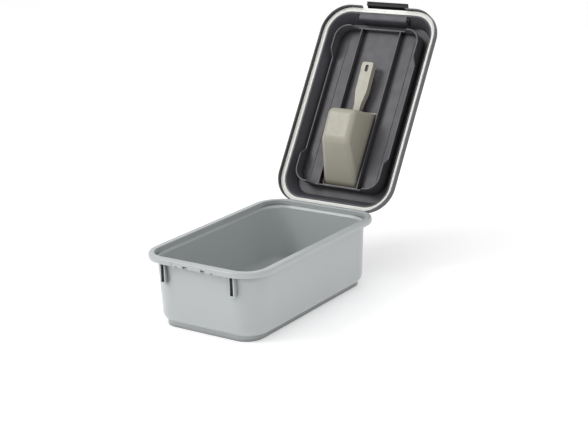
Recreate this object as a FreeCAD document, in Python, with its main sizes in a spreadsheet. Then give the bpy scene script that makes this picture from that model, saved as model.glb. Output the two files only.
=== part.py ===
import FreeCAD, Part

import math
import os

import Sketcher

# Lidded food bin, millimetres. Origin: underside of the foot ring, centre of the bin.
# X runs across the bin, -Y is the latch end, +Y the hinge end, +Z up.
# The lid group is drawn closed and then placed open, turned back about the hinge axis.

DIMENSIONS = {
    # tub
    "rim_half_width": 123.3, "rim_half_length": 200.0, "rim_corner": 53.5, "rim_top": 128.1,
    "skirt_bottom": 118.9, "skirt_wall": 2.2, "flange_underside": 125.4, "rim_edge_round": 4.0,
    "collar_inset": 10.3, "collar_bottom": 115.9, "collar_corner": 38.5,
    "mouth_inset": 12.6, "mouth_corner": 36.0, "mouth_low": 118.4, "mouth_edge_round": 1.2,
    "funnel_low": 114.3, "funnel_inset": 15.2, "wall_top": 118.2, "wall_corner_top": 47.0,
    "wall_inset_top": 12.5, "wall_inset_low": 17.8, "wall_corner_low": 41.7,
    "tub_wall": 2.5, "tub_bottom": 6.0, "tub_bottom_round": 16.0, "tub_inner_round": 15.9,
    "foot_half_width": 96.0, "foot_half_length": 176.7, "foot_corner": 32.0,
    "foot_wall": 3.0, "foot_rise": 9.4,
    "catch_half_width": 47.0, "catch_depth": 0.6, "catch_top": 126.0,
    "catch_under": 116.6, "catch_gap": 0.5,
    "notch_inner": 18.5, "notch_inner_width": 10.6, "notch_inner_rise": 5.4,
    "notch_outer": 36.5, "notch_outer_width": 5.8, "notch_outer_rise": 3.4,
    "notch_reach": 9.0, "channel_offset": 71.3, "channel_width": 10.0,
    "channel_wall": 1.8, "channel_front": 193.5, "channel_bottom": 83.0,
    # hinge
    "axis_back": 203.1, "axis_height": 121.2, "open_angle": 122.4, "hinge_offset": 62.0,
    "knuckle_radius": 2.7, "knuckle_half": 9.0, "ear_radius": 3.2, "ear_width": 6.0,
    "ear_gap": 0.4, "pin_radius": 1.25, "pin_clearance": 0.05,
    # lid
    "lid_inset": -1.9, "lid_corner": 55.4, "lid_lip": 120.4, "lid_border_top": 133.4,
    "lid_skirt_inset": -0.4, "lid_edge_round": 2.6, "lip_underside": 129.0,
    "channel_roof": 130.8, "groove_inset": 9.9, "slope_inset_low": 11.0,
    "slope_inset_high": 23.8, "lid_top": 157.9, "lid_top_round": 3.0, "lid_wall": 2.4,
    "cavity_inset_low": 11.6, "cavity_inset_high": 25.2, "valley_width": 1.4,
    "valley_depth": 0.9, "tray_half_width": 91.9, "tray_front": 161.9, "tray_back": 158.5,
    "tray_corner": 27.0, "tray_wall": 2.0, "tray_floor_under": 148.0,
    "tray_floor_top": 150.2, "fence_low": 123.0, "fence_high": 137.0,
    "fence_step_front": 112.0, "fence_step_back": 107.0, "fence_step_run": 15.0,
    "fence_end_half": 62.0, "fence_end_run": 12.0,
    "rail_offset": 42.4, "rail_wall": 2.0, "rail_edge": 136.0,
    "bead_offset": 71.6, "bead_width": 1.4, "bead_depth": 0.9, "bead_half_length": 146.0,
    # latch seat in the lid, latch and its pin
    "seat_half_width": 46.0, "seat_cheek": 5.5, "seat_floor": 132.0, "seat_under": 129.3,
    "seat_back": 180.8, "seat_wall": 4.2, "seat_edge_round": 4.0,
    "seat_mouth_low_half": 46.8, "seat_mouth_high_half": 50.5, "seat_boss_radius": 4.0,
    "latch_axis_front": 184.5, "latch_axis_height": 136.0, "latch_angle": 45.4,
    "latch_half_width": 44.9, "latch_barrel": 3.3, "latch_pin_radius": 1.6,
    "latch_pin_half": 54.5, "latch_ridge": 134.6, "latch_face": 203.2, "latch_inner": 200.7,
    "latch_tip": 111.0, "latch_hook_tip": 197.9, "latch_hook_top": 117.6,
    "latch_panel_half": 38.0, "latch_panel_depth": 1.2,
    # seal
    "seal_inset_out": 0.4, "seal_inset_in": 8.6, "seal_face": 128.4, "seal_groove_width": 1.3,
    "seal_groove_depth": 0.8, "seal_slit": 0.5,
    # scoop, stored mouth-up against the tray floor
    "mouth_plane": 147.6, "scoop_back": 5.0, "scoop_front": 154.6, "scoop_deep": 77.3,
    "scoop_deep_rise": 4.0, "scoop_deep_back": 22.0, "scoop_deep_front": 84.0,
    "scoop_half_mouth": 38.0, "scoop_half_deep": 28.5, "scoop_wall": 2.0,
    "scoop_edge_round": 10.0, "scoop_belly_round": 24.0, "scoop_heel_round": 14.0,
    "scoop_flange": 1.4, "scoop_flange_thick": 2.0, "scoop_corner": 5.0,
    "handle_tip": 88.5, "handle_half": 12.0, "handle_neck_half": 7.0, "handle_neck": 7.0,
    "handle_shoulder": 30.0, "handle_back_tip": 122.5, "handle_back_neck": 127.5,
    "handle_depth": 13.0, "handle_wall": 2.0, "handle_cell_count": 4.0,
    "handle_tip_round": 4.0, "handle_hole_half": 3.6, "handle_hole_length": 14.0,
    "handle_hole_tip": 5.0,
}


class Size:
    """A length and the spreadsheet formula that gives it."""

    def __init__(self, value, text):
        self.value = value
        self.text = text

    def _join(self, other, sign, value):
        other_text = other.text if isinstance(other, Size) else repr(float(other))
        return Size(value, "({} {} {})".format(self.text, sign, other_text))

    def __add__(self, other):
        return self._join(other, "+", self.value + number(other))

    def __sub__(self, other):
        return self._join(other, "-", self.value - number(other))

    def __mul__(self, other):
        return self._join(other, "*", self.value * number(other))

    def __truediv__(self, other):
        return self._join(other, "/", self.value / number(other))

    def __neg__(self):
        return Size(-self.value, "(0 - {})".format(self.text))


def number(size):
    return size.value if isinstance(size, Size) else float(size)


doc = FreeCAD.newDocument("food_bin")
sheet = doc.addObject("Spreadsheet::Sheet", "sizes")
for row, (alias, plain) in enumerate(DIMENSIONS.items(), start=1):
    sheet.set("A{}".format(row), alias.replace("_", " "))
    sheet.set("B{}".format(row), str(plain))
    sheet.setAlias("B{}".format(row), alias)
doc.recompute()


def dim(alias):
    return Size(float(sheet.get(alias)), "sizes.{}".format(alias))


# ---------------------------------------------------------------- sketches and features

def new_body(name):
    body = doc.addObject("PartDesign::Body", name)
    body.Label = name
    return body


def new_sketch(body, name, plane, height=None):
    """A sketch on one of the body's origin planes, raised along the plane's normal."""
    sketch = body.newObject("Sketcher::SketchObject", name)
    origin_plane = [f for f in body.Origin.OriginFeatures if f.Role == plane][0]
    sketch.AttachmentSupport = [(origin_plane, "")]
    sketch.MapMode = "FlatFace"
    if height is not None:
        sketch.setExpression("AttachmentOffset.Base.z", height.text)
    return sketch


def pin_point(sketch, geometry, end, across, along):
    """Holds one end of a line or a centre at a distance from the sketch's origin."""
    for kind, size in (("DistanceX", across), ("DistanceY", along)):
        if size is None:
            continue
        index = sketch.addConstraint(
            Sketcher.Constraint(kind, -1, 1, geometry, end, number(size)))
        if isinstance(size, Size):
            sketch.setExpression("Constraints[{}]".format(index), size.text)


def rounded_rectangle(sketch, low_x, high_x, low_y, high_y, corner):
    """Four lines and four tangent arcs."""
    x0, x1, y0, y1 = number(low_x), number(high_x), number(low_y), number(high_y)
    radius = number(corner)
    vector = FreeCAD.Vector
    first = sketch.GeometryCount
    corners = ((x1 - radius, y0 + radius, -90), (x1 - radius, y1 - radius, 0),
               (x0 + radius, y1 - radius, 90), (x0 + radius, y0 + radius, 180))
    sides = ((x0 + radius, y0, x1 - radius, y0), (x1, y0 + radius, x1, y1 - radius),
             (x1 - radius, y1, x0 + radius, y1), (x0, y1 - radius, x0, y0 + radius))
    for (cx, cy, start), (ax, ay, bx, by) in zip(corners, sides):
        sketch.addGeometry(Part.LineSegment(vector(ax, ay, 0), vector(bx, by, 0)), False)
        circle = Part.Circle(vector(cx, cy, 0), vector(0, 0, 1), radius)
        sketch.addGeometry(
            Part.ArcOfCircle(circle, math.radians(start), math.radians(start + 90)), False)
    for side in range(4):
        line = first + 2 * side
        following = first + (2 * side + 2) % 8
        sketch.addConstraint(Sketcher.Constraint("Tangent", line, 2, line + 1, 1))
        sketch.addConstraint(Sketcher.Constraint("Tangent", line + 1, 2, following, 1))
        sketch.addConstraint(
            Sketcher.Constraint("Horizontal" if side % 2 == 0 else "Vertical", line))
        if side:
            sketch.addConstraint(Sketcher.Constraint("Equal", first + 1, line + 1))
    pin_point(sketch, first, 1, None, low_y)
    pin_point(sketch, first + 2, 1, high_x, None)
    pin_point(sketch, first + 4, 1, None, high_y)
    pin_point(sketch, first + 6, 1, low_x, None)
    index = sketch.addConstraint(Sketcher.Constraint("Radius", first + 1, radius))
    if isinstance(corner, Size):
        sketch.setExpression("Constraints[{}]".format(index), corner.text)


def centred_outline(sketch, half_x, half_y, corner):
    rounded_rectangle(sketch, -half_x, half_x, -half_y, half_y, corner)


def rim_outline(sketch, inset, corner=None):
    """The rim's outline moved inwards by an inset."""
    centred_outline(sketch, dim("rim_half_width") - inset, dim("rim_half_length") - inset,
                    corner or dim("rim_corner") - inset)


def polygon(sketch, points):
    """A closed chain of straight lines, each corner held at its own sizes."""
    vector = FreeCAD.Vector
    first = sketch.GeometryCount
    count = len(points)
    for index, (across, along) in enumerate(points):
        next_across, next_along = points[(index + 1) % count]
        start = vector(number(across), number(along), 0)
        end = vector(number(next_across), number(next_along), 0)
        sketch.addGeometry(Part.LineSegment(start, end), False)
    for index in range(count):
        sketch.addConstraint(Sketcher.Constraint(
            "Coincident", first + index, 2, first + (index + 1) % count, 1))
    for index, (across, along) in enumerate(points):
        pin_point(sketch, first + index, 1, across, along)


def rectangle(sketch, low_x, high_x, low_y, high_y):
    polygon(sketch, ((low_x, low_y), (high_x, low_y), (high_x, high_y), (low_x, high_y)))


def circle(sketch, across, along, radius):
    index = sketch.addGeometry(Part.Circle(
        FreeCAD.Vector(number(across), number(along), 0), FreeCAD.Vector(0, 0, 1),
        number(radius)), False)
    pin_point(sketch, index, 3, across, along)
    constraint = sketch.addConstraint(Sketcher.Constraint("Radius", index, number(radius)))
    sketch.setExpression("Constraints[{}]".format(constraint), radius.text)


def settle(body, feature, growing):
    """Recomputes and makes sure that the feature added or removed material."""
    before = feature.BaseFeature.Shape.Volume if feature.BaseFeature else 0.0
    body.Tip = feature
    doc.recompute()
    change = feature.Shape.Volume - before
    if not feature.isValid() or not feature.Shape.isValid() or change * growing <= 0:
        raise RuntimeError("{} changed {} by {:.2f}".format(
            feature.Label, body.Label, change))
    return feature


def extrude(body, kind, name, sketch, length, reverse=False, symmetric=False, widen=None):
    """A pad or pocket; widen is how far its outline grows along its length."""
    feature = body.newObject("PartDesign::" + kind, name)
    feature.Profile = sketch
    feature.SideType = "Symmetric" if symmetric else "One side"
    feature.Reversed = reverse
    feature.setExpression("Length", length.text)
    if widen is not None:
        feature.setExpression("TaperAngle", "atan({} / {})".format(widen.text, length.text))
    return settle(body, feature, 1 if kind == "Pad" else -1)


def pad(body, name, sketch, length, **options):
    return extrude(body, "Pad", name, sketch, length, **options)


def pocket(body, name, sketch, length, **options):
    return extrude(body, "Pocket", name, sketch, length, **options)


def fillet(body, name, radius, chosen):
    """Rounds the edges of the body's tip for which chosen(edge) is true."""
    base = body.Tip
    names = ["Edge{}".format(i) for i, edge in enumerate(base.Shape.Edges, start=1)
             if chosen(edge)]
    if not names:
        raise RuntimeError("no edges for {}".format(name))
    feature = body.newObject("PartDesign::Fillet", name)
    feature.Base = (base, names)
    feature.setExpression("Radius", radius.text)
    body.Tip = feature
    doc.recompute()
    if not feature.isValid() or not feature.Shape.isValid():
        raise RuntimeError("{} failed on {}".format(name, body.Label))
    return feature


def level_edge(height, inset_limit=None, outside=True, slack=0.02):
    """Chooses edges that lie in one level, and outside or inside an inset if one is given."""
    def chosen(edge):
        box = edge.BoundBox
        if abs(box.ZMin - number(height)) > slack or abs(box.ZMax - number(height)) > slack:
            return False
        if inset_limit is None:
            return True
        reach_x = max(abs(box.XMin), abs(box.XMax))
        reach_y = max(abs(box.YMin), abs(box.YMax))
        side_limit = number(dim("rim_half_width") - inset_limit)
        end_limit = number(dim("rim_half_length") - inset_limit)
        beyond = reach_x > side_limit + slack or reach_y > end_limit + slack
        return beyond == outside
    return chosen


# ---------------------------------------------------------------- tub

def make_tub():
    body = new_body("tub")
    outline = new_sketch(body, "tub_wall_outline", "XY_Plane", dim("tub_bottom"))
    rim_outline(outline, dim("wall_inset_low"), dim("wall_corner_low"))
    pad(body, "tub_wall_draft", outline, dim("wall_top") - dim("tub_bottom"),
        widen=dim("wall_inset_low") - dim("wall_inset_top"))
    cavity = new_sketch(body, "tub_cavity_floor", "XY_Plane",
                        dim("tub_bottom") + dim("tub_wall"))
    rim_outline(cavity, dim("wall_inset_low") + dim("tub_wall"),
                dim("wall_corner_low") - dim("tub_wall"))
    pocket(body, "tub_cavity", cavity,
           dim("wall_top") - dim("tub_bottom") - dim("tub_wall"), reverse=True,
           widen=dim("wall_inset_low") - dim("wall_inset_top"))
    fillet(body, "tub_inner_edge", dim("tub_inner_round"),
           level_edge(dim("tub_bottom") + dim("tub_wall")))
    fillet(body, "tub_bottom_edge", dim("tub_bottom_round"), level_edge(dim("tub_bottom")))

    foot = new_sketch(body, "tub_foot_outline", "XY_Plane")
    for shrink in (Size(0.0, "0"), dim("foot_wall")):
        centred_outline(foot, dim("foot_half_width") - shrink,
                        dim("foot_half_length") - shrink, dim("foot_corner") - shrink)
    pad(body, "tub_foot_ring", foot, dim("foot_rise"))

    collar = new_sketch(body, "tub_collar_outline", "XY_Plane", dim("collar_bottom"))
    rim_outline(collar, dim("collar_inset"), dim("collar_corner"))
    rim_outline(collar, dim("wall_inset_top") + dim("tub_wall") / 2.0,
                dim("wall_corner_top") - dim("tub_wall") / 2.0)
    pad(body, "tub_collar", collar, dim("rim_top") - dim("collar_bottom"))
    flange = new_sketch(body, "tub_flange_outline", "XY_Plane", dim("flange_underside"))
    rim_outline(flange, Size(0.0, "0"), dim("rim_corner"))
    rim_outline(flange, dim("collar_inset") + 1.0)
    pad(body, "tub_flange", flange, dim("rim_top") - dim("flange_underside"))
    skirt = new_sketch(body, "tub_skirt_outline", "XY_Plane", dim("skirt_bottom"))
    rim_outline(skirt, Size(0.0, "0"), dim("rim_corner"))
    rim_outline(skirt, dim("skirt_wall"))
    pad(body, "tub_skirt", skirt, dim("rim_top") - dim("skirt_bottom"))
    fillet(body, "tub_rim_edge", dim("rim_edge_round"),
           level_edge(dim("rim_top"), dim("collar_inset") + 1.0))

    add_front_channels(body)
    add_latch_catch(body)
    funnel = new_sketch(body, "tub_funnel", "XY_Plane", dim("funnel_low"))
    rim_outline(funnel, dim("funnel_inset"),
                dim("wall_corner_top") - dim("funnel_inset") + dim("wall_inset_top"))
    pocket(body, "tub_funnel_cut", funnel, dim("mouth_low") - dim("funnel_low"),
           reverse=True, widen=dim("funnel_inset") - dim("mouth_inset"))
    mouth = new_sketch(body, "tub_mouth", "XY_Plane", dim("mouth_low"))
    rim_outline(mouth, dim("mouth_inset"), dim("mouth_corner"))
    pocket(body, "tub_mouth_cut", mouth, dim("rim_top") - dim("mouth_low") + 1.0,
           reverse=True)
    fillet(body, "tub_mouth_edge", dim("mouth_edge_round"),
           level_edge(dim("rim_top"), dim("collar_inset") + 1.0, outside=False))
    add_hinge_ears(body)
    return body


def add_front_channels(body):
    """Two open channels on the latch end, each of two fins closed by a web below."""
    outer = dim("channel_width") / 2.0
    inner = outer - dim("channel_wall")
    wall_line = -(dim("rim_half_length") - dim("wall_inset_top")) + 2.0
    for side, sign in (("left", -1.0), ("right", 1.0)):
        middle = dim("channel_offset") * sign
        plan = new_sketch(body, "tub_channel_plan_" + side, "XY_Plane",
                          dim("channel_bottom"))
        front = -dim("channel_front")
        rectangle(plan, middle - outer, middle - inner, front, wall_line)
        rectangle(plan, middle + inner, middle + outer, front, wall_line)
        pad(body, "tub_channel_fins_" + side, plan,
            dim("flange_underside") - dim("channel_bottom") + 0.5)
        web = new_sketch(body, "tub_channel_web_plan_" + side, "XY_Plane",
                         dim("channel_bottom"))
        rectangle(web, middle - outer, middle + outer, front, wall_line)
        pad(body, "tub_channel_web_" + side, web, dim("channel_wall"))


def add_latch_catch(body):
    """The latch's catch: a block behind the front skirt with blind slots from below.

    A shallow flat is sunk across the skirt over the block's width.
    """
    front = -dim("rim_half_length")
    back = front + dim("collar_inset") + 1.0
    hook_room = front + dim("skirt_wall") + dim("catch_gap")
    block = new_sketch(body, "tub_catch_block_profile", "YZ_Plane")
    polygon(block, ((hook_room, dim("catch_under")),
                    (hook_room, dim("skirt_bottom") - dim("catch_gap")),
                    (front + dim("skirt_wall") / 2.0, dim("skirt_bottom")),
                    (front + dim("skirt_wall") / 2.0, dim("flange_underside") + 0.5),
                    (back, dim("flange_underside") + 0.5),
                    (back, dim("catch_under"))))
    pad(body, "tub_catch_block", block, dim("catch_half_width") * 2.0, symmetric=True)
    plan = new_sketch(body, "tub_catch_plan", "XY_Plane", dim("skirt_bottom") - 1.0)
    rectangle(plan, -dim("catch_half_width"), dim("catch_half_width"),
              front - 1.0, front + dim("catch_depth"))
    pocket(body, "tub_catch", plan, dim("catch_top") - dim("skirt_bottom") + 1.0,
           reverse=True)
    for place in ("notch_inner", "notch_outer"):
        notches = new_sketch(body, "tub_{}_plan".format(place), "XY_Plane",
                             dim("catch_under") - 1.0)
        half = dim(place + "_width") / 2.0
        for sign in (-1.0, 1.0):
            middle = dim(place) * sign
            rectangle(notches, middle - half, middle + half, front - 1.0,
                      front + dim("notch_reach"))
        pocket(body, "tub_{}_cuts".format(place), notches, dim(place + "_rise") + 1.0,
               reverse=True)


def ear_starts():
    """The low X of the four hinge ears, two beside each lid knuckle."""
    inner = dim("knuckle_half") + dim("ear_gap")
    starts = []
    for sign in (-1.0, 1.0):
        middle = dim("hinge_offset") * sign
        starts.append(middle - inner - dim("ear_width"))
        starts.append(middle + inner)
    return starts


def add_hinge_ears(body):
    root = dim("rim_half_length") - 1.0
    for index, start in enumerate(ear_starts()):
        side = new_sketch(body, "tub_ear_side_{}".format(index), "YZ_Plane", start)
        polygon(side, ((root, dim("axis_height") - dim("ear_radius")),
                       (dim("axis_back"), dim("axis_height") - dim("ear_radius")),
                       (dim("axis_back"), dim("axis_height") + dim("ear_radius")),
                       (root, dim("axis_height") + dim("ear_radius"))))
        pad(body, "tub_ear_root_{}".format(index), side, dim("ear_width"))
        boss = new_sketch(body, "tub_ear_circle_{}".format(index), "YZ_Plane", start)
        circle(boss, dim("axis_back"), dim("axis_height"), dim("ear_radius"))
        pad(body, "tub_ear_boss_{}".format(index), boss, dim("ear_width"))
    bore = new_sketch(body, "tub_ear_bore", "YZ_Plane")
    circle(bore, dim("axis_back"), dim("axis_height"), dim("pin_radius"))
    pocket(body, "tub_ear_bores", bore, dim("rim_half_width") * 2.0, symmetric=True)


# ---------------------------------------------------------------- lid

def make_lid():
    body = new_body("lid")
    slab = new_sketch(body, "lid_outline", "XY_Plane", dim("lid_lip"))
    rim_outline(slab, dim("lid_inset"), dim("lid_corner"))
    pad(body, "lid_border", slab, dim("lid_border_top") - dim("lid_lip"))
    fillet(body, "lid_border_edge", dim("lid_edge_round"), level_edge(dim("lid_border_top")))
    valley = new_sketch(body, "lid_valley_outline", "XY_Plane",
                        dim("lid_border_top") - dim("valley_depth"))
    rim_outline(valley, dim("slope_inset_low") - dim("valley_width"))
    rim_outline(valley, dim("slope_inset_low"))
    pocket(body, "lid_valley", valley, dim("valley_depth") + 1.0, reverse=True)
    slope = new_sketch(body, "lid_slope_foot", "XY_Plane",
                       dim("lid_border_top") - dim("valley_depth"))
    rim_outline(slope, dim("slope_inset_low"))
    pad(body, "lid_dome", slope,
        dim("lid_top") - dim("lid_border_top") + dim("valley_depth"),
        widen=dim("slope_inset_low") - dim("slope_inset_high"))
    fillet(body, "lid_dome_edge", dim("lid_top_round"), level_edge(dim("lid_top")))

    under = new_sketch(body, "lid_skirt_inside", "XY_Plane", dim("lid_lip"))
    rim_outline(under, dim("lid_skirt_inset"))
    pocket(body, "lid_skirt_cut", under, dim("lip_underside") - dim("lid_lip"),
           reverse=True)
    channel = new_sketch(body, "lid_seal_channel", "XY_Plane", dim("lip_underside"))
    rim_outline(channel, dim("lid_skirt_inset"))
    rim_outline(channel, dim("groove_inset"))
    pocket(body, "lid_channel_cut", channel, dim("channel_roof") - dim("lip_underside"),
           reverse=True)
    cavity = new_sketch(body, "lid_cavity_outline", "XY_Plane", dim("lip_underside"))
    rim_outline(cavity, dim("cavity_inset_low"))
    pocket(body, "lid_cavity", cavity,
           dim("lid_top") - dim("lid_wall") - dim("lip_underside"), reverse=True,
           widen=dim("cavity_inset_low") - dim("cavity_inset_high"))

    add_tray(body)
    add_latch_seat(body)
    add_knuckles(body)
    return body


def tray_outline(sketch, shrink, corner):
    rounded_rectangle(sketch, -(dim("tray_half_width") - shrink),
                      dim("tray_half_width") - shrink,
                      -(dim("tray_front") - shrink), dim("tray_back") - shrink, corner)


def add_tray(body):
    """The scoop's tray: a sunken floor with a fence that stands highest at the corners."""
    block = new_sketch(body, "lid_tray_outline", "XY_Plane", dim("fence_low"))
    tray_outline(block, Size(0.0, "0"), dim("tray_corner"))
    pad(body, "lid_tray", block, dim("lid_top") - dim("fence_low") - dim("lid_wall") / 2.0)
    recess = new_sketch(body, "lid_top_recess_outline", "XY_Plane", dim("tray_floor_top"))
    tray_outline(recess, dim("lid_wall"), dim("tray_corner") - dim("lid_wall"))
    pocket(body, "lid_top_recess", recess, dim("lid_top") - dim("tray_floor_top") + 1.0,
           reverse=True)
    inside = new_sketch(body, "lid_tray_inside", "XY_Plane", dim("fence_low"))
    tray_outline(inside, dim("tray_wall"), dim("tray_corner") - dim("tray_wall"))
    pocket(body, "lid_tray_cut", inside, dim("tray_floor_under") - dim("fence_low"),
           reverse=True)

    below = dim("fence_low") - 1.0
    sides = new_sketch(body, "lid_fence_side_profile", "YZ_Plane")
    polygon(sides, ((-dim("fence_step_front"), below),
                    (-(dim("fence_step_front") - dim("fence_step_run")), dim("fence_high")),
                    (dim("fence_step_back") - dim("fence_step_run"), dim("fence_high")),
                    (dim("fence_step_back"), below)))
    pocket(body, "lid_fence_side_cut", sides, dim("tray_half_width") * 2.0 + 2.0,
           symmetric=True)
    ends = new_sketch(body, "lid_fence_end_profile", "XZ_Plane")
    polygon(ends, ((-dim("fence_end_half"), below),
                   (-(dim("fence_end_half") - dim("fence_end_run")), dim("fence_high")),
                   (dim("fence_end_half") - dim("fence_end_run"), dim("fence_high")),
                   (dim("fence_end_half"), below)))
    pocket(body, "lid_fence_end_cut", ends, dim("tray_front") * 2.0 + 2.0, symmetric=True)

    rails = new_sketch(body, "lid_rail_plan", "XY_Plane", dim("rail_edge"))
    for sign in (-1.0, 1.0):
        middle = dim("rail_offset") * sign
        half = dim("rail_wall") / 2.0
        rectangle(rails, middle - half, middle + half,
                  -(dim("tray_front") - 1.0), dim("tray_back") - 1.0)
    pad(body, "lid_rails", rails, dim("tray_floor_under") - dim("rail_edge") + 1.0)
    beads = new_sketch(body, "lid_bead_plan", "XY_Plane",
                       dim("tray_floor_under") - dim("bead_depth"))
    for sign in (-1.0, 1.0):
        middle = dim("bead_offset") * sign
        half = dim("bead_width") / 2.0
        rectangle(beads, middle - half, middle + half,
                  -dim("bead_half_length"), dim("bead_half_length"))
    pad(body, "lid_floor_beads", beads, dim("bead_depth") + 0.5)


def add_latch_seat(body):
    """A box through the front slope in which the latch turns, open to the front."""
    slope = (dim("slope_inset_high") - dim("slope_inset_low")) \
        / (dim("lid_top") - dim("lid_border_top") + dim("valley_depth"))
    inner_back = dim("seat_back") - dim("seat_wall")
    slope_foot = dim("rim_half_length") - dim("slope_inset_low")
    back_rise = (slope_foot - inner_back) / slope
    box = new_sketch(body, "lid_seat_profile", "YZ_Plane")
    polygon(box, ((-slope_foot, dim("seat_under")), (-inner_back, dim("seat_under")),
                  (-inner_back, dim("lid_border_top") + back_rise - 2.0),
                  (-slope_foot, dim("lid_border_top") - 1.0)))
    pad(body, "lid_seat_box", box, (dim("seat_half_width") + dim("seat_cheek")) * 2.0,
        symmetric=True)
    fillet(body, "lid_seat_edge", dim("seat_edge_round"),
           lambda edge: abs(edge.BoundBox.YMax + number(inner_back)) < 0.02
           and edge.BoundBox.YLength < 0.02
           and abs(edge.BoundBox.ZMax - number(dim("seat_under"))) < 0.02)
    boss = new_sketch(body, "lid_seat_boss_circle", "YZ_Plane")
    circle(boss, -dim("latch_axis_front"), dim("latch_axis_height"),
           dim("seat_boss_radius"))
    pad(body, "lid_seat_bosses", boss, dim("latch_pin_half") * 2.0, symmetric=True)
    opening = new_sketch(body, "lid_seat_opening", "YZ_Plane")
    front = -(dim("rim_half_length") + 6.0)
    rectangle(opening, front, -dim("seat_back"), dim("seat_floor"), dim("lid_top") + 1.0)
    pocket(body, "lid_seat_cut", opening, dim("seat_half_width") * 2.0, symmetric=True)
    mouth = new_sketch(body, "lid_seat_mouth", "XZ_Plane", dim("rim_half_length"))
    polygon(mouth, ((-dim("seat_mouth_low_half"), dim("lid_lip") - 1.0),
                    (-dim("seat_mouth_high_half"), dim("lid_border_top") + 1.0),
                    (dim("seat_mouth_high_half"), dim("lid_border_top") + 1.0),
                    (dim("seat_mouth_low_half"), dim("lid_lip") - 1.0)))
    pocket(body, "lid_seat_mouth_cut", mouth, -dim("lid_inset") + 3.0, reverse=True)
    bore = new_sketch(body, "lid_latch_bore", "YZ_Plane")
    circle(bore, -dim("latch_axis_front"), dim("latch_axis_height"),
           dim("latch_pin_radius"))
    pocket(body, "lid_latch_bores", bore, dim("latch_pin_half") * 2.0, symmetric=True)


def add_knuckles(body):
    """Skirt cut-outs for the tub's ears, then one knuckle between each pair of ears."""
    gap = dim("ear_gap")
    room = new_sketch(body, "lid_ear_room", "XY_Plane", dim("lid_lip") - 1.0)
    for start in ear_starts():
        rectangle(room, start - gap, start + dim("ear_width") + gap,
                  dim("rim_half_length") - dim("skirt_wall"),
                  dim("rim_half_length") - dim("lid_inset") + 1.0)
    pocket(body, "lid_ear_cuts", room, dim("axis_height") + dim("ear_radius") + 2.0
           - dim("lid_lip") + 1.0, reverse=True)
    inner_face = dim("axis_back") - dim("knuckle_radius")
    for side, sign in (("left", -1.0), ("right", 1.0)):
        start = dim("hinge_offset") * sign - dim("knuckle_half")
        web = new_sketch(body, "lid_knuckle_web_" + side, "YZ_Plane", start)
        polygon(web, ((inner_face, dim("axis_height")),
                      (dim("axis_back") + dim("knuckle_radius"), dim("axis_height")),
                      (dim("rim_half_length") + 2.2, dim("channel_roof")),
                      (inner_face, dim("channel_roof"))))
        pad(body, "lid_knuckle_arm_" + side, web, dim("knuckle_half") * 2.0)
        roll = new_sketch(body, "lid_knuckle_circle_" + side, "YZ_Plane", start)
        circle(roll, dim("axis_back"), dim("axis_height"), dim("knuckle_radius"))
        pad(body, "lid_knuckle_" + side, roll, dim("knuckle_half") * 2.0)
    bore = new_sketch(body, "lid_knuckle_bore", "YZ_Plane")
    circle(bore, dim("axis_back"), dim("axis_height"),
           dim("pin_radius") + dim("pin_clearance"))
    pocket(body, "lid_knuckle_bores", bore, dim("rim_half_width") * 2.0, symmetric=True)


# ---------------------------------------------------------------- seal

def make_seal():
    body = new_body("lid_seal")
    ring = new_sketch(body, "seal_outline", "XY_Plane", dim("seal_face"))
    rim_outline(ring, dim("seal_inset_out"))
    rim_outline(ring, dim("seal_inset_in"))
    pad(body, "seal_ring", ring, dim("channel_roof") - dim("seal_face"))
    middle = (dim("seal_inset_out") + dim("seal_inset_in")) / 2.0
    groove = new_sketch(body, "seal_groove_outline", "XY_Plane", dim("seal_face"))
    rim_outline(groove, middle - dim("seal_groove_width") / 2.0)
    rim_outline(groove, middle + dim("seal_groove_width") / 2.0)
    pocket(body, "seal_groove", groove, dim("seal_groove_depth"), reverse=True)
    slit = new_sketch(body, "seal_slit_plan", "XY_Plane", dim("seal_face") - 1.0)
    half = dim("seal_slit") / 2.0
    rectangle(slit, -half, half, -(dim("rim_half_length") + 1.0),
              -(dim("rim_half_length") - dim("seal_inset_in") - 1.0))
    pocket(body, "seal_butt_joint", slit, dim("channel_roof") - dim("seal_face") + 2.0,
           reverse=True)
    return body


# ---------------------------------------------------------------- latch

def make_latch():
    body = new_body("latch")
    width = dim("latch_half_width") * 2.0
    side = new_sketch(body, "latch_profile", "YZ_Plane")
    axis = -dim("latch_axis_front")
    height = dim("latch_axis_height")
    barrel = dim("latch_barrel")
    inner = -dim("latch_inner")
    polygon(side, (
        (axis, height + barrel),
        (-(dim("latch_face") - 1.6), dim("latch_ridge")),
        (-dim("latch_face"), dim("latch_ridge") - 1.4),
        (-(dim("latch_face") - 0.3), dim("latch_tip")),
        (inner, dim("latch_tip")),
        (inner, dim("latch_hook_top") - 3.2),
        (-dim("latch_hook_tip"), dim("latch_hook_top") - 1.2),
        (-dim("latch_hook_tip"), dim("latch_hook_top")),
        (inner, dim("latch_hook_top") + 0.3),
        (inner, dim("seat_floor") - 0.2),
        (-(dim("latch_inner") - 0.5), dim("seat_floor") + 0.3),
        (axis, dim("seat_floor") + 0.7)))
    pad(body, "latch_plate", side, width, symmetric=True)
    roll = new_sketch(body, "latch_barrel_circle", "YZ_Plane")
    circle(roll, axis, height, barrel)
    pad(body, "latch_barrel_roll", roll, width, symmetric=True)
    panel = new_sketch(body, "latch_panel", "YZ_Plane")
    rectangle(panel, inner - dim("latch_panel_depth"), inner + 0.5,
              dim("latch_hook_top") + 1.6, dim("seat_floor") - 1.8)
    pocket(body, "latch_inner_panel", panel, dim("latch_panel_half") * 2.0, symmetric=True)
    bore = new_sketch(body, "latch_bore", "YZ_Plane")
    circle(bore, axis, height, dim("latch_pin_radius") + dim("pin_clearance"))
    pocket(body, "latch_pin_bore", bore, width + 2.0, symmetric=True)
    return body


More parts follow.
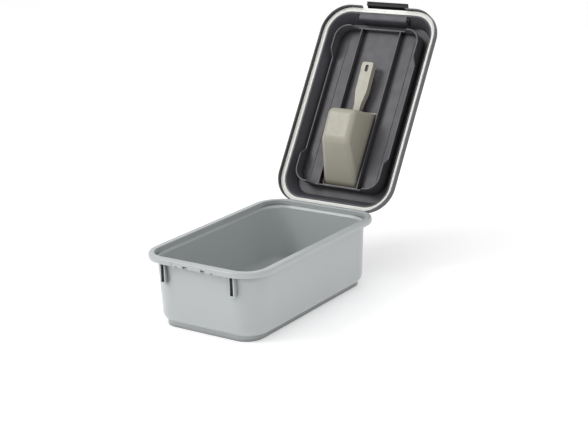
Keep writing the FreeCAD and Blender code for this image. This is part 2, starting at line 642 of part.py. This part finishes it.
def make_pin(name, across, height, radius, low_x, length):
    body = new_body(name)
    end = new_sketch(body, name + "_circle", "YZ_Plane", low_x)
    circle(end, across, height, radius)
    pad(body, name + "_rod", end, length)
    return body


# ---------------------------------------------------------------- scoop

def make_scoop():
    body = new_body("scoop")
    add_bowl(body)
    bowl = body.Tip
    mouth_face = ["Face{}".format(i) for i, face in enumerate(bowl.Shape.Faces, start=1)
                  if abs(face.BoundBox.ZMin - number(dim("mouth_plane"))) < 0.01]
    shell = body.newObject("PartDesign::Thickness", "scoop_bowl_wall")
    shell.Base = (bowl, mouth_face)
    shell.setExpression("Value", "sizes.scoop_wall")
    shell.Reversed = True
    settle(body, shell, -1)
    flange = new_sketch(body, "scoop_flange_outline", "XY_Plane",
                        dim("mouth_plane") - dim("scoop_flange_thick"))
    for grow in (dim("scoop_flange"), -dim("scoop_wall") / 2.0):
        rounded_rectangle(flange, -(dim("scoop_half_mouth") + grow),
                          dim("scoop_half_mouth") + grow, dim("scoop_back") - grow,
                          dim("scoop_front") + grow, dim("scoop_corner") + grow)
    pad(body, "scoop_flange_rim", flange, dim("scoop_flange_thick"))
    add_handle(body)
    return body


def add_bowl(body):
    """The bowl's outside: its side profile drawn across, then leaning side faces."""
    side = new_sketch(body, "scoop_profile", "YZ_Plane")
    polygon(side, ((dim("scoop_deep_back"), dim("scoop_deep")),
                   (dim("scoop_deep_front"), dim("scoop_deep") + dim("scoop_deep_rise")),
                   (dim("scoop_front"), dim("mouth_plane")),
                   (dim("scoop_back"), dim("mouth_plane"))))
    pad(body, "scoop_block", side, dim("scoop_half_mouth") * 2.0, symmetric=True)
    lean = new_sketch(body, "scoop_side_lean", "XZ_Plane")
    for sign in (-1.0, 1.0):
        polygon(lean, ((dim("scoop_half_mouth") * sign, dim("mouth_plane")),
                       (dim("scoop_half_deep") * sign, dim("scoop_deep") - 2.0),
                       ((dim("scoop_half_mouth") + 2.0) * sign, dim("scoop_deep") - 2.0),
                       ((dim("scoop_half_mouth") + 2.0) * sign, dim("mouth_plane"))))
    pocket(body, "scoop_sides", lean, dim("scoop_front") * 2.0 + 4.0, symmetric=True)

    def crosswise(edge, back):
        box = edge.BoundBox
        return box.YLength < 0.01 and box.ZLength < 0.01 and abs(box.YMin - back) < 0.01

    fillet(body, "scoop_belly_round", dim("scoop_belly_round"),
           lambda edge: crosswise(edge, number(dim("scoop_deep_front"))))
    fillet(body, "scoop_heel_round", dim("scoop_heel_round"),
           lambda edge: crosswise(edge, number(dim("scoop_deep_back"))))
    fillet(body, "scoop_long_edges", dim("scoop_edge_round"),
           lambda edge: edge.BoundBox.ZMin < number(dim("mouth_plane")) - 1.0
           and min(abs(edge.BoundBox.XMin), abs(edge.BoundBox.XMax)) > 1.0)


def add_handle(body):
    """The grip: a bar cut to a tapered plan, hollowed into cells, with a hanging hole."""
    side = new_sketch(body, "handle_side", "YZ_Plane")
    tip = -dim("handle_tip")
    neck = dim("scoop_back") + dim("handle_neck")
    back_lean = (dim("scoop_deep_back") - dim("scoop_back")) \
        / (dim("mouth_plane") - dim("scoop_deep"))
    polygon(side, ((tip, dim("handle_back_tip")), (neck, dim("handle_back_neck")),
                   (neck - back_lean * dim("handle_depth"),
                    dim("handle_back_neck") + dim("handle_depth")),
                   (tip, dim("handle_back_tip") + dim("handle_depth"))))
    pad(body, "handle_spine", side, dim("handle_neck_half") * 2.0, symmetric=True)
    grip = new_sketch(body, "handle_grip_side", "YZ_Plane")
    grip_share = (dim("handle_tip") - dim("scoop_back")) / (dim("handle_tip") + neck)
    grip_end = dim("handle_back_tip") + (dim("handle_back_neck")
                                         - dim("handle_back_tip")) * grip_share
    polygon(grip, ((tip, dim("handle_back_tip")), (-dim("scoop_back"), grip_end),
                   (-dim("scoop_back"), grip_end + dim("handle_depth")),
                   (tip, dim("handle_back_tip") + dim("handle_depth"))))
    pad(body, "handle_bar", grip, dim("handle_half") * 2.0, symmetric=True)
    plan = new_sketch(body, "handle_waist_plan", "XY_Plane", dim("handle_back_tip") - 1.0)
    shoulder = -dim("handle_shoulder")
    for sign in (-1.0, 1.0):
        polygon(plan, ((dim("handle_half") * sign, shoulder),
                       (dim("handle_neck_half") * sign, -dim("scoop_back")),
                       (dim("handle_neck_half") * sign, dim("scoop_back") - 4.0),
                       ((dim("handle_half") + 1.0) * sign, dim("scoop_back") - 4.0),
                       ((dim("handle_half") + 1.0) * sign, shoulder)))
    pocket(body, "handle_waist", plan, dim("handle_depth") + 8.0, reverse=True)
    fillet(body, "handle_tip_corners", dim("handle_tip_round"),
           lambda edge: abs(edge.BoundBox.YMax - number(tip)) < 0.02
           and edge.BoundBox.XLength < 0.02)
    add_handle_cells(body)


def add_handle_cells(body):
    """Open cells on the mouth side of the grip, with cross ribs between them."""
    wall = dim("handle_wall")
    depth = dim("handle_depth")
    start = -(dim("handle_tip") - wall)
    end = -dim("handle_shoulder")
    cells = new_sketch(body, "handle_cell_plan", "XY_Plane",
                       dim("handle_back_neck") + wall)
    count = float(number(dim("handle_cell_count")))
    pitch = (end - start + wall) / dim("handle_cell_count")
    half = dim("handle_half") - wall
    for index in range(int(count)):
        low = start + pitch * float(index)
        rectangle(cells, -half, half, low, low + pitch - wall)
    pocket(body, "handle_cells", cells, depth + wall, reverse=True)
    hole = new_sketch(body, "handle_hole_outline", "XY_Plane",
                      dim("handle_back_tip") - 1.0)
    low = -(dim("handle_tip") - dim("handle_hole_tip"))
    rounded_rectangle(hole, -dim("handle_hole_half"), dim("handle_hole_half"), low,
                      low + dim("handle_hole_length"), dim("handle_hole_half") - 0.2)
    pocket(body, "handle_hanging_hole", hole, depth * 2.0, reverse=True)


# ---------------------------------------------------------------- assembly

tub = make_tub()
lid = make_lid()
lid_seal = make_seal()
latch = make_latch()
latch_pin = make_pin("latch_pin", -dim("latch_axis_front"), dim("latch_axis_height"),
                     dim("latch_pin_radius"), -dim("latch_pin_half"),
                     dim("latch_pin_half") * 2.0)
pin_reach = dim("knuckle_half") + dim("ear_gap") + dim("ear_width")
hinge_pins = [
    make_pin("hinge_pin_" + side, dim("axis_back"), dim("axis_height"), dim("pin_radius"),
             dim("hinge_offset") * sign - pin_reach, pin_reach * 2.0)
    for side, sign in (("left", -1.0), ("right", 1.0))]
scoop = make_scoop()


def turn_about_x(degrees, back, height):
    """A placement that turns a piece about an axis along X at a given Y and Z."""
    return FreeCAD.Placement(
        FreeCAD.Vector(0, 0, 0), FreeCAD.Rotation(FreeCAD.Vector(1, 0, 0), degrees),
        FreeCAD.Vector(0, back, height))


open_lid = turn_about_x(-number(dim("open_angle")), number(dim("axis_back")),
                        number(dim("axis_height")))
open_latch = turn_about_x(-number(dim("latch_angle")), -number(dim("latch_axis_front")),
                          number(dim("latch_axis_height")))
for piece in (lid, lid_seal, latch_pin, scoop):
    piece.Placement = open_lid
latch.Placement = open_lid.multiply(open_latch)
doc.recompute()

pieces = [tub, lid, lid_seal, latch, latch_pin, scoop] + hinge_pins
for item in doc.Objects:
    if "Invalid" in item.State or "Error" in item.State:
        raise RuntimeError("{} failed: {}".format(item.Name, item.State))
for piece in pieces:
    if piece.Shape.isNull() or not piece.Shape.isValid() or len(piece.Shape.Solids) != 1:
        raise RuntimeError("{} is not one valid solid".format(piece.Label))

os.makedirs("parts", exist_ok=True)
for piece in pieces:
    piece.Shape.exportStep("parts/{}.step".format(piece.Label))
    print(piece.Label, "{:.0f} mm3".format(piece.Shape.Volume))
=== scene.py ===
import math

import bpy
from mathutils import Matrix, Vector

# Metres. The bin stands on the floor at z = 0, the latch end towards -Y, its lid open.

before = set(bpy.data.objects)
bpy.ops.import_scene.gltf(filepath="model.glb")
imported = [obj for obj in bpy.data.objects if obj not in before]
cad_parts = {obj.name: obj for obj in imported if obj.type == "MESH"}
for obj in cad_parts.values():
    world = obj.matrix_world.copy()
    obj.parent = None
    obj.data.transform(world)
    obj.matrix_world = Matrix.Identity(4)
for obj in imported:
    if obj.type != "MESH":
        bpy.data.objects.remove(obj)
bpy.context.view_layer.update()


# ---------------------------------------------------------------- colours

def linear(red, green, blue):
    """Linear colour of an sRGB colour given from 0 to 255."""
    def channel(value):
        part = value / 255.0
        return part / 12.92 if part <= 0.04045 else ((part + 0.055) / 1.055) ** 2.4
    return (channel(red), channel(green), channel(blue), 1.0)


def grey(value):
    return (value, value, value, 1.0)


def shaded(colour, factor, lift=0.0):
    """The same colour, brighter or darker by a factor, then lifted towards white."""
    return tuple(min(1.0, part * factor + lift) for part in colour[:3]) + (1.0,)


# ---------------------------------------------------------------- node helpers

GAP_REACH = 0.012            # painted shade darkens the inside of a gap narrower than this
EDGE_REACH = 0.0011          # wear and painted highlight spread this far in from an outer corner
GAP_RANGE = (0.25, 0.95)     # how shut in a place is, from a gap to an open face
EDGE_RANGE = (0.35, 0.85)    # how solid a place is, from a corner to an open face
OCCLUSION_SAMPLES = 8
MIX_FACTOR, MIX_FIRST, MIX_SECOND = 0, 6, 7      # a colour mix node's sockets
MIX_RESULT = 2


class Nodes:
    """A material's node tree with short ways to add and link nodes."""

    def __init__(self, name):
        self.material = bpy.data.materials.new(name)
        self.material.use_nodes = True
        self.tree = self.material.node_tree
        self.shader = self.tree.nodes["Principled BSDF"]
        self.set("Specular IOR Level", 0.5)
        self.place = self.add("ShaderNodeTexCoord").outputs["Object"]

    def add(self, kind, **values):
        node = self.tree.nodes.new(kind)
        for name, value in values.items():
            setattr(node, name, value)
        return node

    def link(self, source, target):
        self.tree.links.new(source, target)

    def fill(self, socket, value):
        if isinstance(value, bpy.types.NodeSocket):
            self.link(value, socket)
        else:
            socket.default_value = value

    def set(self, name, value):
        self.fill(self.shader.inputs[name], value)

    def mapped(self, scale, turn=(0, 0, 0)):
        node = self.add("ShaderNodeMapping")
        node.inputs["Scale"].default_value = scale
        node.inputs["Rotation"].default_value = turn
        self.link(self.place, node.inputs["Vector"])
        return node.outputs["Vector"]

    def noise(self, scale, detail, rough=0.5, vector=None):
        node = self.add("ShaderNodeTexNoise")
        node.inputs["Scale"].default_value = scale
        node.inputs["Detail"].default_value = detail
        node.inputs["Roughness"].default_value = rough
        self.link(vector or self.place, node.inputs["Vector"])
        return node.outputs["Fac"]

    def ramp(self, value, source, result=(0.0, 1.0)):
        """Stretch the source range of a value to the result range, clamped."""
        node = self.add("ShaderNodeMapRange")
        node.inputs["From Min"].default_value = source[0]
        node.inputs["From Max"].default_value = source[1]
        node.inputs["To Min"].default_value = result[0]
        node.inputs["To Max"].default_value = result[1]
        self.link(value, node.inputs["Value"])
        return node.outputs["Result"]

    def mix(self, factor, first, second):
        node = self.add("ShaderNodeMix", data_type="RGBA")
        self.fill(node.inputs[MIX_FACTOR], factor)
        self.fill(node.inputs[MIX_FIRST], first)
        self.fill(node.inputs[MIX_SECOND], second)
        return node.outputs[MIX_RESULT]

    def total(self, first, second):
        node = self.add("ShaderNodeMath", operation="ADD")
        self.fill(node.inputs[0], first)
        self.fill(node.inputs[1], second)
        return node.outputs[0]

    def bump(self, height, strength, distance, normal=None):
        node = self.add("ShaderNodeBump")
        node.inputs["Strength"].default_value = strength
        node.inputs["Distance"].default_value = distance
        self.link(height, node.inputs["Height"])
        if normal is not None:
            self.link(normal, node.inputs["Normal"])
        return node.outputs["Normal"]

    def occlusion(self, reach, inside):
        node = self.add("ShaderNodeAmbientOcclusion", samples=OCCLUSION_SAMPLES,
                        inside=inside)
        node.inputs["Distance"].default_value = reach
        return node.outputs["AO"]

    def painted_shade_in_gaps(self, amount):
        """How much painted shade a place gets: most in narrow gaps, none on open faces."""
        return self.ramp(self.occlusion(GAP_REACH, False), GAP_RANGE, (amount, 0.0))

    def edges(self, amount):
        """How much a place is paled, partly by wear and partly by painted highlight: most
        on outer corners, none on open faces.
        """
        return self.ramp(self.occlusion(EDGE_REACH, True), EDGE_RANGE, (amount, 0.0))


# ---------------------------------------------------------------- materials

# Features per metre, and depths and lengths in metres.
DRIFTS_PER_M = 7.0                   # slow change of tone across a piece
SPECKS_PER_M = 900.0
WAVES_PER_M = 9.0                    # slow waviness of a moulded wall
SCUFFS_PER_M = (700.0, 24.0, 30.0)   # thin one way, so they look like scratches
SCUFF_TURN = (0.5, 0.9, 0.3)         # radians, so they follow no wall of the bin
GRAIN_DEPTH = 0.00006
WAVE_DEPTH = 0.0006
MILKY_DEPTH = 0.004                  # how far light spreads in a milky plastic
MILKY_TINT = (1.0, 1.0, 0.95)
COAT_ROUGHNESS = 0.34

# The part of a noise's range that makes each mark, and how strong the mark is.
DRIFT_RANGE = (0.15, 0.85)
FLOW_RANGE = (0.2, 0.8)
SPECK_RANGE, SPECK_SHARE, SPECK_SHADE = (0.68, 0.74), 0.22, 0.72
SCUFF_RANGE, SCUFF_DULLING = (0.7, 0.8), 0.06
# Edge paling, partly wear and partly painted highlight.
WORN_AND_LIT_FACTOR, WORN_AND_LIT_LIFT = 1.25, 0.12
GRAIN_STRENGTH, WAVE_STRENGTH = 0.22, 0.06


def moulded_colour(n, colour, flowed, tone, flow_and_reflection_tone, painted_gap_shade, wear_and_highlight):
    """Drifting tone and specks; flow streaks paled partly as painted reflection; edges
    paled by wear and painted highlight; painted shade in gaps.
    """
    light = shaded(colour, 1.0 + tone)
    drift = n.ramp(n.noise(DRIFTS_PER_M, detail=4.0), DRIFT_RANGE)
    base = n.mix(drift, shaded(colour, 1.0 - tone), light)
    # Flow streaks painted paler: partly moulding flow lines, partly painted reflection
    # streaks.
    base = n.mix(n.ramp(flowed, (0.0, 1.0), (0.0, flow_and_reflection_tone)), base, light)
    specks = n.ramp(n.noise(SPECKS_PER_M, detail=2.0), SPECK_RANGE, (0.0, SPECK_SHARE))
    base = n.mix(specks, base, shaded(colour, SPECK_SHADE))
    # Outer corners painted paler: partly wear, partly painted highlight.
    base = n.mix(n.edges(wear_and_highlight), base, shaded(colour, WORN_AND_LIT_FACTOR, WORN_AND_LIT_LIFT))
    # Painted shade: narrow gaps are darkened towards black.
    return n.mix(n.painted_shade_in_gaps(painted_gap_shade), base, grey(0.0))


def moulded_roughness(n, rough, swing, flowed):
    """Glossier along the flow streaks, duller where the surface is scuffed."""
    scuffs = n.noise(1.0, detail=2.0, vector=n.mapped(SCUFFS_PER_M, SCUFF_TURN))
    streaks = n.ramp(flowed, (0.0, 1.0), (rough + swing, rough - swing))
    return n.total(streaks, n.ramp(scuffs, SCUFF_RANGE, (0.0, SCUFF_DULLING)))


def moulded_relief(n, grain_per_m):
    """Satin grain on a slightly wavy wall."""
    grain = n.bump(n.noise(grain_per_m, detail=2.0), GRAIN_STRENGTH, GRAIN_DEPTH)
    return n.bump(n.noise(WAVES_PER_M, detail=1.0), WAVE_STRENGTH, WAVE_DEPTH, grain)


def moulded(name, colour, rough, grain_per_m, flow_per_m, flow_turn=0.0, tone=0.06,
            flow_and_reflection_tone=0.35, swing=0.06, coat=0.0, painted_gap_shade=0.8, wear_and_highlight=0.3, milky=0.0):
    """Injection-moulded plastic or rubber, with the marks that moulding leaves, plus
    painted shade in gaps, and painted highlight and reflection on edges and flow streaks.
    """
    n = Nodes(name)
    streaks = n.noise(1.0, detail=3.0, rough=0.55,
                      vector=n.mapped(flow_per_m, (flow_turn, 0, 0)))
    flowed = n.ramp(streaks, FLOW_RANGE)
    n.set("Base Color", moulded_colour(n, colour, flowed, tone, flow_and_reflection_tone, painted_gap_shade, wear_and_highlight))
    n.set("Roughness", moulded_roughness(n, rough, swing, flowed))
    n.set("Normal", moulded_relief(n, grain_per_m))
    n.set("Coat Weight", coat)
    n.set("Coat Roughness", COAT_ROUGHNESS)
    if milky:
        n.set("Subsurface Weight", milky)
        n.set("Subsurface Scale", MILKY_DEPTH)
        n.set("Subsurface Radius", MILKY_TINT)
    return n.material


STEEL_DARK, STEEL_LIGHT = linear(120, 120, 122), linear(176, 176, 178)
STEEL_LINES_PER_M = (60.0, 2500.0, 2500.0)       # long along X, fine across it
STEEL_LINE_RANGE, STEEL_ROUGHNESS = (0.3, 0.7), (0.28, 0.42)
STEEL_LINE_STRENGTH, STEEL_LINE_DEPTH = 0.15, 0.00004


def drawn_steel(name):
    """Drawn rod: fine lines along the pin, which lies on the X axis."""
    n = Nodes(name)
    lines = n.noise(1.0, detail=3.0, rough=0.6, vector=n.mapped(STEEL_LINES_PER_M))
    n.set("Base Color", n.mix(lines, STEEL_DARK, STEEL_LIGHT))
    n.set("Metallic", 1.0)
    n.set("Roughness", n.ramp(lines, STEEL_LINE_RANGE, STEEL_ROUGHNESS))
    n.set("Normal", n.bump(lines, STEEL_LINE_STRENGTH, STEEL_LINE_DEPTH))
    return n.material


LID_ANGLE = math.radians(122.4)      # streaks turned by this run along the open lid

tub_plastic = moulded(
    "tub_grey", linear(178, 182, 183), rough=0.3, grain_per_m=2400.0,
    flow_per_m=(7.0, 7.0, 1.5), tone=0.03, swing=0.03, coat=0.3, wear_and_highlight=0.6, milky=0.45)
lid_plastic = moulded(
    "lid_grey", linear(76, 74, 79), rough=0.46, grain_per_m=1900.0,
    flow_per_m=(60.0, 4.0, 60.0), flow_turn=LID_ANGLE, flow_and_reflection_tone=0.6, painted_gap_shade=1.0,
    wear_and_highlight=0.5)
seal_rubber = moulded(
    "seal_cream", linear(246, 246, 238), rough=0.55, grain_per_m=3000.0,
    flow_per_m=(14.0, 14.0, 14.0), tone=0.02, painted_gap_shade=0.0, wear_and_highlight=0.0, milky=0.6)
latch_plastic = moulded(
    "latch_black", linear(26, 26, 27), rough=0.46, grain_per_m=1900.0,
    flow_per_m=(5.0, 40.0, 40.0), wear_and_highlight=0.12)
scoop_plastic = moulded(
    "scoop_taupe", linear(160, 157, 142), rough=0.4, grain_per_m=2600.0,
    flow_per_m=(110.0, 5.0, 110.0), flow_turn=LID_ANGLE, tone=0.1, flow_and_reflection_tone=0.8,
    swing=0.1, coat=0.25, wear_and_highlight=0.5)
pin_steel = drawn_steel("pin_steel")


# ---------------------------------------------------------------- pieces

EDGE_ROUND = 0.00035
EDGE_SEGMENTS = 2
SHARPEST_LEFT_ALONE = math.radians(38.0)

FINISH = {"tub": tub_plastic, "lid": lid_plastic, "lid_seal": seal_rubber,
          "latch": latch_plastic, "scoop": scoop_plastic, "latch_pin": pin_steel,
          "hinge_pin_left": pin_steel, "hinge_pin_right": pin_steel}


def soften_edges(node):
    """Break the sharp edges of a piece, as a mould or a deburring tool does."""
    edge = node.modifiers.new("edge_round", "BEVEL")
    edge.width = EDGE_ROUND
    edge.segments = EDGE_SEGMENTS
    edge.limit_method = "ANGLE"
    edge.angle_limit = SHARPEST_LEFT_ALONE


for name, material in FINISH.items():
    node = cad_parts[name]
    node.data.materials.clear()
    node.data.materials.append(material)
    soften_edges(node)


# ---------------------------------------------------------------- floor and sky

FLOOR_SIZE = 60.0
FLOOR_GREY, FLOOR_GLOW = 0.9, 0.3
FLOOR_ROUGHNESS, FLOOR_SHINE = 0.8, 0.1
SKY_STRENGTH = 0.84
SKY_RANGE = (-0.5, 0.8)      # along X: white up to the first, dimmest from the second
SKY_WHITE, SKY_DIM = grey(1.0), (0.66, 0.66, 0.67, 1.0)


def floor_finish():
    """Pale and plain; it glows a little so that it stays white far from the lamps."""
    n = Nodes("floor_white")
    n.set("Base Color", grey(FLOOR_GREY))
    n.set("Roughness", FLOOR_ROUGHNESS)
    n.set("Specular IOR Level", FLOOR_SHINE)
    n.set("Emission Color", grey(1.0))
    n.set("Emission Strength", FLOOR_GLOW)
    return n.material


def add_floor():
    half = FLOOR_SIZE / 2
    mesh = bpy.data.meshes.new("floor")
    mesh.from_pydata([(-half, -half, 0), (half, -half, 0), (half, half, 0),
                      (-half, half, 0)], [], [(0, 1, 2, 3)])
    mesh.materials.append(floor_finish())
    plane = bpy.data.objects.new("floor", mesh)
    bpy.context.scene.collection.objects.link(plane)
    return plane


def light_sky():
    """White on the -X side, turning light grey towards +X."""
    world = bpy.data.worlds.new("studio")
    bpy.context.scene.world = world
    world.use_nodes = True
    nodes, links = world.node_tree.nodes, world.node_tree.links
    background = nodes["Background"]
    background.inputs["Strength"].default_value = SKY_STRENGTH
    direction = nodes.new("ShaderNodeTexCoord")
    axes = nodes.new("ShaderNodeSeparateXYZ")
    side = nodes.new("ShaderNodeMapRange")
    side.inputs["From Min"].default_value = SKY_RANGE[0]
    side.inputs["From Max"].default_value = SKY_RANGE[1]
    shade = nodes.new("ShaderNodeMix")
    shade.data_type = "RGBA"
    shade.inputs[MIX_FIRST].default_value = SKY_WHITE
    shade.inputs[MIX_SECOND].default_value = SKY_DIM
    links.new(direction.outputs["Generated"], axes.inputs["Vector"])
    links.new(axes.outputs["X"], side.inputs["Value"])
    links.new(side.outputs["Result"], shade.inputs[MIX_FACTOR])
    links.new(shade.outputs[MIX_RESULT], background.inputs["Color"])


floor = add_floor()
light_sky()


# ---------------------------------------------------------------- lamps

def add_lamp(name, location, target, size, watts):
    data = bpy.data.lights.new(name, "AREA")
    data.shape = "RECTANGLE"
    data.size, data.size_y = size
    data.energy = watts
    lamp = bpy.data.objects.new(name, data)
    lamp.location = location
    aim = Vector(target) - Vector(location)
    lamp.rotation_mode = "QUATERNION"
    lamp.rotation_quaternion = aim.to_track_quat("-Z", "Y")
    bpy.context.scene.collection.objects.link(lamp)


add_lamp("key", (-1.6, -1.6, 2.4), target=(0, 0, 0.2), size=(1.2, 1.2), watts=29)
add_lamp("top", (0.2, -0.1, 2.6), target=(0, 0, 0), size=(1.6, 1.6), watts=9)
add_lamp("fill", (2.6, -1.2, 1.4), target=(0, 0, 0.1), size=(0.9, 1.4), watts=3)


# ---------------------------------------------------------------- camera

CAMERA_TARGET = Vector((0, 0, 0.1))
CAMERA_TURN = math.radians(34.514)       # from the -Y side towards +X
CAMERA_RISE = math.radians(17.053)       # above the level
CAMERA_ROLL = math.radians(-1.858)
CAMERA_DISTANCE = 2.449213
CAMERA_RIGHT, CAMERA_UP = 0.052361, 0.048024     # sideways shifts off the target
CAMERA_SENSOR, CAMERA_LENS = 36.0, 85.72         # millimetres
CAMERA_NEAR, CAMERA_FAR = 0.05, 60.0


def add_camera():
    data = bpy.data.cameras.new("camera")
    data.sensor_width = CAMERA_SENSOR
    data.lens = CAMERA_LENS
    data.clip_start = CAMERA_NEAR
    data.clip_end = CAMERA_FAR
    camera = bpy.data.objects.new("camera", data)
    bpy.context.scene.collection.objects.link(camera)
    bpy.context.scene.camera = camera
    back = Vector((math.sin(CAMERA_TURN) * math.cos(CAMERA_RISE),
                   -math.cos(CAMERA_TURN) * math.cos(CAMERA_RISE),
                   math.sin(CAMERA_RISE)))
    level = Vector((math.cos(CAMERA_TURN), math.sin(CAMERA_TURN), 0))
    upright = back.cross(level)
    right = math.cos(CAMERA_ROLL) * level + math.sin(CAMERA_ROLL) * upright
    up = -math.sin(CAMERA_ROLL) * level + math.cos(CAMERA_ROLL) * upright
    place = CAMERA_TARGET + back * CAMERA_DISTANCE + right * CAMERA_RIGHT + up * CAMERA_UP
    camera.matrix_world = Matrix((
        (right.x, up.x, back.x, place.x), (right.y, up.y, back.y, place.y),
        (right.z, up.z, back.z, place.z), (0, 0, 0, 1)))


add_camera()
bpy.context.scene.view_settings.view_transform = "Standard"
